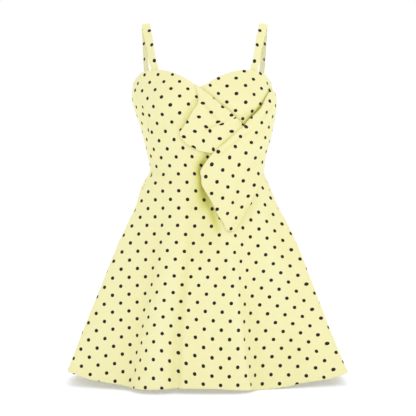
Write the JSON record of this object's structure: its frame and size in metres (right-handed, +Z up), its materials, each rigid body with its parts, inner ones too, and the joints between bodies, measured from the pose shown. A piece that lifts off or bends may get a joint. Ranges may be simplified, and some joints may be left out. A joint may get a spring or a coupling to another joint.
{
  "type": "a-line mini dress with shoulder straps and a draped half bow",
  "caption": "Worn sleeveless a-line mini dress: sweetheart bodice, shoulder straps, fluted skirt, polka dots and a draped half bow with a pointed tail.",
  "frame": {"origin": "midway between the tops of the two shoulder straps, where the wearer's shoulders carry the dress", "axes": "+Z up, -Y out of the dress's front, +X to the wearer's left"},
  "size_m": [0.6367, 0.3913, 0.818],
  "materials": {
    "front": "matt pale lemon woven cotton with black polka dots",
    "side_right": "matt pale lemon woven cotton with black polka dots",
    "side_left": "matt pale lemon woven cotton with black polka dots",
    "back_right": "matt pale lemon woven cotton with black polka dots",
    "back_left": "matt pale lemon woven cotton with black polka dots",
    "strap_right": "matt pale lemon woven cotton with black polka dots",
    "strap_left": "matt pale lemon woven cotton with black polka dots",
    "bow_loop": "matt pale lemon woven cotton with black polka dots",
    "bow_band": "matt pale lemon woven cotton with black polka dots",
    "zip_tape": "plain woven zip tape",
    "zip_slider": "satin lacquer in the cloth's colour",
    "zip_pull": "satin lacquer in the cloth's colour"
  },
  "bodies": {
    "dress": {"front": "front", "side_right": "side_right", "side_left": "side_left", "back_right": "back_right", "back_left": "back_left", "strap_right": "strap_right", "strap_left": "strap_left", "bow_loop": "bow_loop", "bow_band": "bow_band", "zip_tape": "zip_tape", "zip_slider": "zip_slider"},
    "pull": {"zip_pull": "zip_pull"}
  },
  "joints": [
    {"name": "pull_tab_swing", "type": "hinge", "parent": "dress", "child": "pull", "pos_m": [-0.006, 0.10475, -0.181], "axis": [1, 0, 0], "range_deg": [0, 165]}
  ]
}
